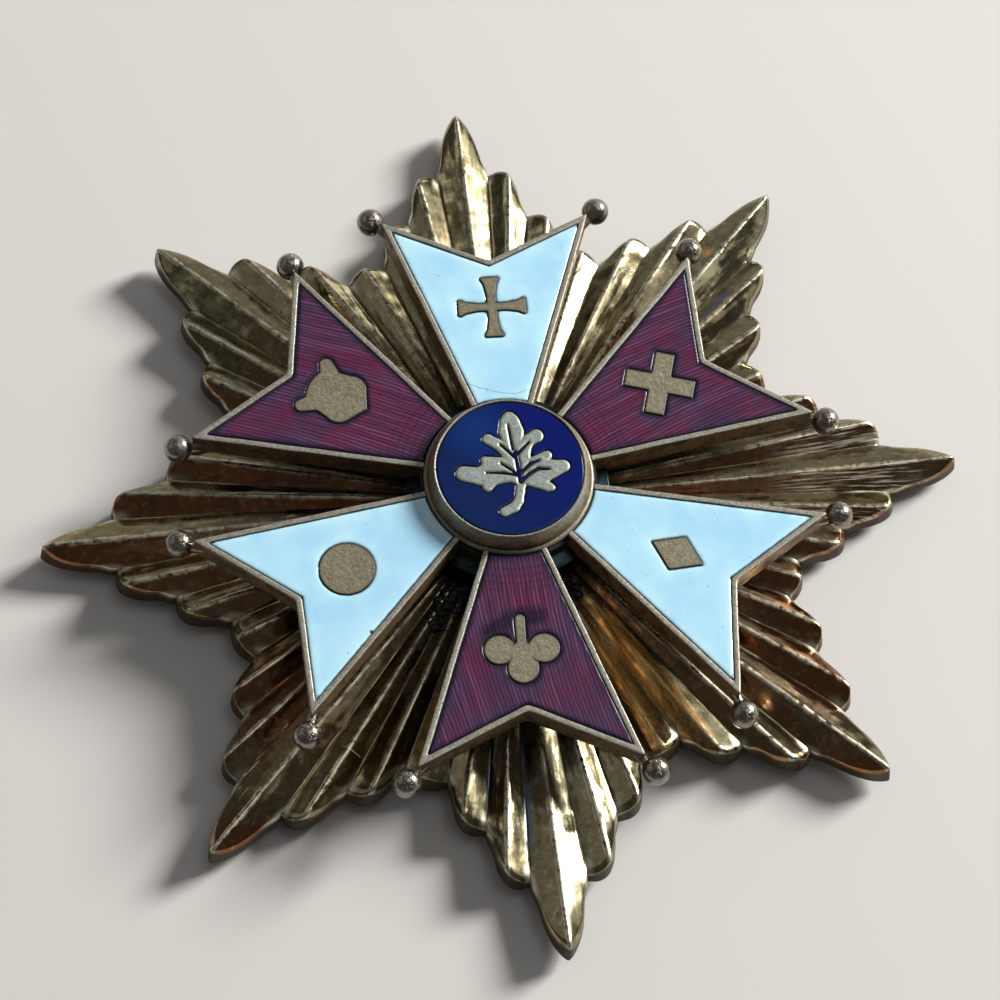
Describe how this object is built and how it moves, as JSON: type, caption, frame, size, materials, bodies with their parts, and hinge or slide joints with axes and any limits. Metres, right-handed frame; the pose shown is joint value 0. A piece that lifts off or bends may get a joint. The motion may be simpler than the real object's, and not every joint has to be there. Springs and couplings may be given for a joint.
{
  "type": "medal brooch",
  "caption": "Order star worn as a brooch: corrugated eight-pointed gilt star, six-armed enamelled cross with balls and raised charges, round blue boss with a leaf, pin behind.",
  "frame": {"origin": "middle of the brooch on the surface that it lies on, under the stud", "axes": "+Z towards the viewer, out of the face; +Y towards the main ray above the top arm; the pin runs along X"},
  "size_m": [0.0766, 0.0766, 0.0094],
  "materials": {
    "star_gilt": "pressed sheet, gilt, tarnished olive brown with bright ridges",
    "disc_steel": "blued, dull",
    "cross_metal": "worn pewter-coloured gilt, satin, finely scratched",
    "enamel_white": "opaque glossy enamel",
    "enamel_crimson": "translucent glossy enamel over engine-turned lines",
    "boss_metal": "worn pewter-coloured gilt, polished lip",
    "enamel_blue": "deep glossy enamel",
    "pin_metal": "plain, satin"
  },
  "bodies": {
    "root": {"star_plate": "star_gilt", "spacer_disc": "disc_steel", "cross_frame": "cross_metal", "enamel_white_top": "enamel_white", "enamel_white_right": "enamel_white", "enamel_white_left": "enamel_white", "enamel_crimson_right": "enamel_crimson", "enamel_crimson_bottom": "enamel_crimson", "enamel_crimson_left": "enamel_crimson", "boss_bezel": "boss_metal", "boss_enamel": "enamel_blue", "brooch_pin": "pin_metal"}
  },
  "joints": []
}
